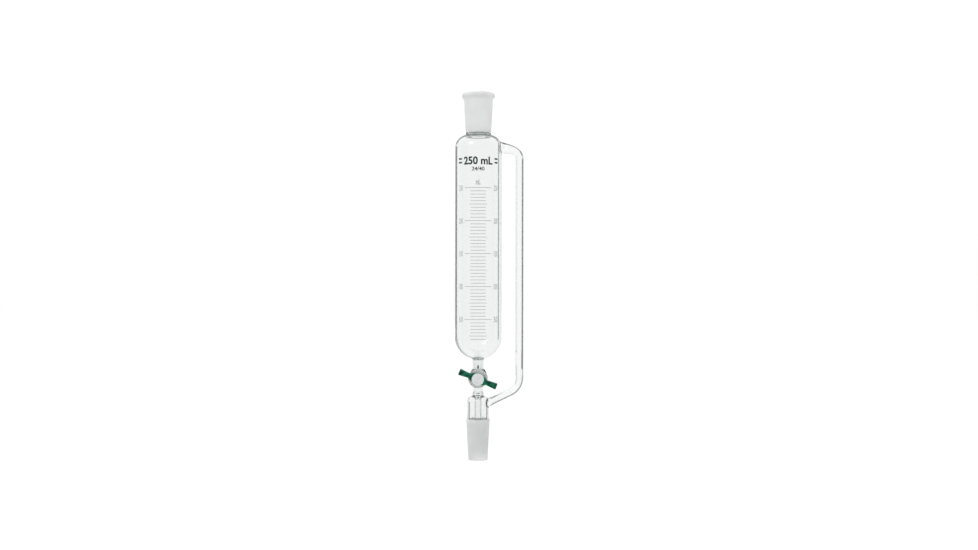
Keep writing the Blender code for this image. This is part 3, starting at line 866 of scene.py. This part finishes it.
def lettering(words, height, z, width, bold):
    """Flat words of a capital height, centred on X = 0 and squeezed to a width."""
    capital = 0.73
    text = bpy.data.curves.new("lettering", "FONT")
    text.body, text.align_x = words, "CENTER"
    text.size, text.extrude = height / capital, PRINT_THICKNESS / 2
    text.resolution_u, text.offset = 3, bold
    obj = bpy.data.objects.new("lettering", text)
    bpy.context.scene.collection.objects.link(obj)
    bm = bmesh.new()
    bm.from_mesh(obj.to_mesh())
    bpy.data.objects.remove(obj)
    bpy.data.curves.remove(text)
    bmesh.ops.remove_doubles(bm, verts=bm.verts, dist=1e-4)
    spots = [v.co.x for v in bm.verts]
    middle, squeeze = (min(spots) + max(spots)) / 2, width / (max(spots) - min(spots))
    for v in bm.verts:
        v.co = ((v.co.x - middle) * squeeze, v.co.y + z - height / 2, v.co.z + PRINT_THICKNESS / 2)
    columns = int(width / 2 / COLUMN)
    for i in range(-columns, columns + 1):
        geometry = bm.verts[:] + bm.edges[:] + bm.faces[:]
        place = (i * COLUMN + 0.013, 0, 0)
        bmesh.ops.bisect_plane(bm, geom=geometry, plane_co=place, plane_no=(1, 0, 0))
    return bm


def gather(parts):
    """One mesh from many."""
    whole = bmesh.new()
    for bm in parts:
        mesh = bpy.data.meshes.new("short_lived")
        bm.to_mesh(mesh)
        bm.free()
        whole.from_mesh(mesh)
        bpy.data.meshes.remove(mesh)
    return whole


def make_scale(material):
    """A mark each 5 mL, a longer one each 25 mL and the longest each 50 mL."""
    parts = []
    for i in range(47):
        z = SCALE_TOP - i * MARK_STEP
        width = 28.5 if i % 10 == 0 else 18.0 if i % 5 == 0 else 15.8
        parts.append(wrap(bar(width, 0.6, z)))
    piece("scale_marks", gather(parts), material, "glass_body", "clear_glass", sharp=30)


def make_numbers(material):
    """Unit above the scale, and a number at both ends of each 50 mL mark."""
    parts = [wrap(lettering("mL", 5.6, SCALE_TOP + 6.0, 4.8, 0.3))]
    for i, words in enumerate(("250", "200", "150", "100", "50")):
        z = SCALE_TOP - 10 * i * MARK_STEP
        for turn in (-47.0, 48.0):
            parts.append(wrap(lettering(words, 6.0, z, 5.4, 0.05), math.radians(turn)))
    piece("scale_numbers", gather(parts), material, "glass_body", "clear_glass", sharp=30)


def make_label(material):
    """Capacity between two pairs of bars, with the joint size below it."""
    parts = [wrap(lettering("250 mL", 7.9, LABEL_Z, 31.0, 0.34))]
    parts.append(wrap(lettering("24/40", 3.8, 297.6, 13.0, 0.10)))
    for turn in (-1, 1):
        for offset in (-1.9, 1.9):
            parts.append(wrap(bar(4.6, 1.7, LABEL_Z + offset), turn * 20.6 / BODY_R))
    piece("capacity_label", gather(parts), material, "glass_body", "clear_glass", sharp=30)


# ---------------------------------------------------------------- studio


def make_floor():
    """Pale floor, which glass and gloss don't see."""
    bm = bmesh.new()
    bmesh.ops.create_grid(bm, x_segments=8, y_segments=8, size=8.0)
    floor = add_object("floor", bm)
    floor.location.z = FLOOR_Z
    look = Look("pale_floor")
    look.set(Roughness=0.9)
    paper = look.noise(3.0, 2.0)
    look.feed("Base Color", look.ramp(paper, (0.3, (0.84, 0.84, 0.84)), (0.7, (0.86, 0.86, 0.86))))
    floor.data.materials.append(look.material)
    floor.visible_transmission = floor.visible_glossy = False


def make_card(name, y, edges, grey):
    """Upright card that only light through glass meets; edges are left, right, bottom and top."""
    left, right, bottom, top = edges
    corners = ((left, bottom), (right, bottom), (right, top), (left, top))
    bm = bmesh.new()
    bm.faces.new([bm.verts.new(Vector((x, y, z)) * MM) for x, z in corners])
    card = add_object(name, bm)
    look = Look(name)
    look.set(Roughness=1.0, Specular_IOR_Level=0.0, Emission_Strength=1.0)
    look.shader.inputs["Base Color"].default_value = (0.0, 0.0, 0.0, 1.0)
    look.shader.inputs["Emission Color"].default_value = (grey, grey, grey, 1.0)
    card.data.materials.append(look.material)
    card.visible_camera = card.visible_diffuse = False
    card.visible_glossy = card.visible_shadow = False


def make_cards():
    """White boards close behind the funnel, and a dark card behind and above them."""
    make_card("lower_board", 30, (-29, 38, -5, 108), 1.0)
    make_card("upper_board", 30, (-35.5, 27.3, 110, 345), 1.0)
    make_card("arm_board", 30, (31.6, 52.8, 110, 345), 1.0)
    make_card("top_flag", 70, (-60, 80, 358, 440), 0.02)


# Dark parts of the world that glass sees, as limits in degrees: azimuth from +Y towards +X, elevation
SIDE_FLAGS = [((12, 38), (-4.8, 7)), ((52, 60), (-4.8, 7)), ((-38, -18), (-4.8, 7))]
# More of them, as parts of rings round +Y: angle off +Y, and angle round it from +X towards +Z
RING_FLAGS = [((20, 58), (25, 100)), ((22, 40), (95, 160))]


def make_world():
    """White studio, brighter overhead; glass also sees dark flags, and gloss sees a dimmer front."""
    world = bpy.data.worlds.new("studio")
    bpy.context.scene.world = world
    world.use_nodes = True
    nodes, links = world.node_tree.nodes, world.node_tree.links
    maths = partial(math_node, world.node_tree)

    def within(angle, limits):
        return maths("COMPARE", angle, sum(limits) / 2, (limits[1] - limits[0]) / 2)

    parts = nodes.new("ShaderNodeSeparateXYZ")
    links.new(nodes.new("ShaderNodeTexCoord").outputs["Generated"], parts.inputs[0])
    x, y, z = parts.outputs
    azimuth = maths("DEGREES", maths("ARCTAN2", x, y))
    elevation = maths("DEGREES", maths("ARCSINE", z))
    off, around = maths("DEGREES", maths("ARCCOSINE", y)), maths("DEGREES", maths("ARCTAN2", z, x))
    dark = 0.0
    for first, second, flags in ((azimuth, elevation, SIDE_FLAGS), (off, around, RING_FLAGS)):
        for a, b in flags:
            dark = maths("MAXIMUM", dark, maths("MULTIPLY", within(first, a), within(second, b)))
    ray = nodes.new("ShaderNodeLightPath").outputs
    sky = maths("ADD", 1.0, maths("MULTIPLY", maths("MAXIMUM", z, 0.0), 0.35))
    clear = maths("MULTIPLY", ray["Is Transmission Ray"], ray["Is Singular Ray"])
    clear = maths("MULTIPLY", clear, maths("LESS_THAN", ray["Diffuse Depth"], 0.5))
    through = maths("SUBTRACT", 1.0, maths("MULTIPLY", maths("MULTIPLY", dark, clear), 0.97))
    mirrored = maths("GREATER_THAN", ray["Is Glossy Ray"], ray["Is Transmission Ray"])
    front = maths("MULTIPLY", maths("LESS_THAN", y, 0.0), mirrored)
    gloss = maths("SUBTRACT", 1.0, maths("MULTIPLY", front, 0.55))
    strength = maths("MULTIPLY", maths("MULTIPLY", sky, through), gloss)
    links.new(strength, nodes["Background"].inputs["Strength"])
    nodes["Background"].inputs["Color"].default_value = (*WHITE, 1.0)


def make_light():
    """Soft key light in front, up on the left, aimed at the funnel's middle."""
    lamp = bpy.data.lights.new("key", "AREA")
    lamp.shape, lamp.size, lamp.energy = "SQUARE", 0.7, 3.0
    obj = bpy.data.objects.new("key", lamp)
    obj.location = (-0.9, -1.1, 1.0)
    aim = Vector((0.0, 0.0, MIDDLE_Z)) - obj.location
    obj.rotation_euler = aim.to_track_quat("-Z", "Y").to_euler()
    bpy.context.scene.collection.objects.link(obj)


def make_camera():
    camera = bpy.data.objects.new("camera", bpy.data.cameras.new("camera"))
    camera.location = CAMERA_PLACE
    camera.rotation_euler = (math.pi / 2, CAMERA_ROLL, 0.0)
    camera.data.sensor_width = 36.0
    camera.data.lens = CAMERA_LENS
    bpy.context.scene.collection.objects.link(camera)
    bpy.context.scene.camera = camera


def make_studio():
    bpy.context.scene.view_settings.view_transform = "Standard"
    make_world()
    make_floor()
    make_cards()
    make_light()
    make_camera()


def make_funnel():
    plastic, white = green_plastic(), ptfe()
    make_glass_body(clear_glass())
    make_socket(ground_glass("ground_socket_glass", NECK_TOP - 1.0, NECK_TOP + 1.5))
    make_cone(ground_glass("ground_cone_glass", CONE_TOP, CONE_TOP - 4.5))
    make_lip(ground_glass("ground_lip_glass", 0.0, 1.0))
    make_plug(white)
    make_handle(plastic)
    make_washer(white)
    make_o_ring(black_rubber())
    make_nut(plastic)
    grey = enamel("pale_enamel", (0.30, 0.31, 0.31), (0.44, 0.45, 0.45))
    make_scale(grey)
    make_numbers(grey)
    make_label(enamel("green_enamel", (0.001, 0.020, 0.016), (0.003, 0.034, 0.027)))


make_funnel()
make_studio()
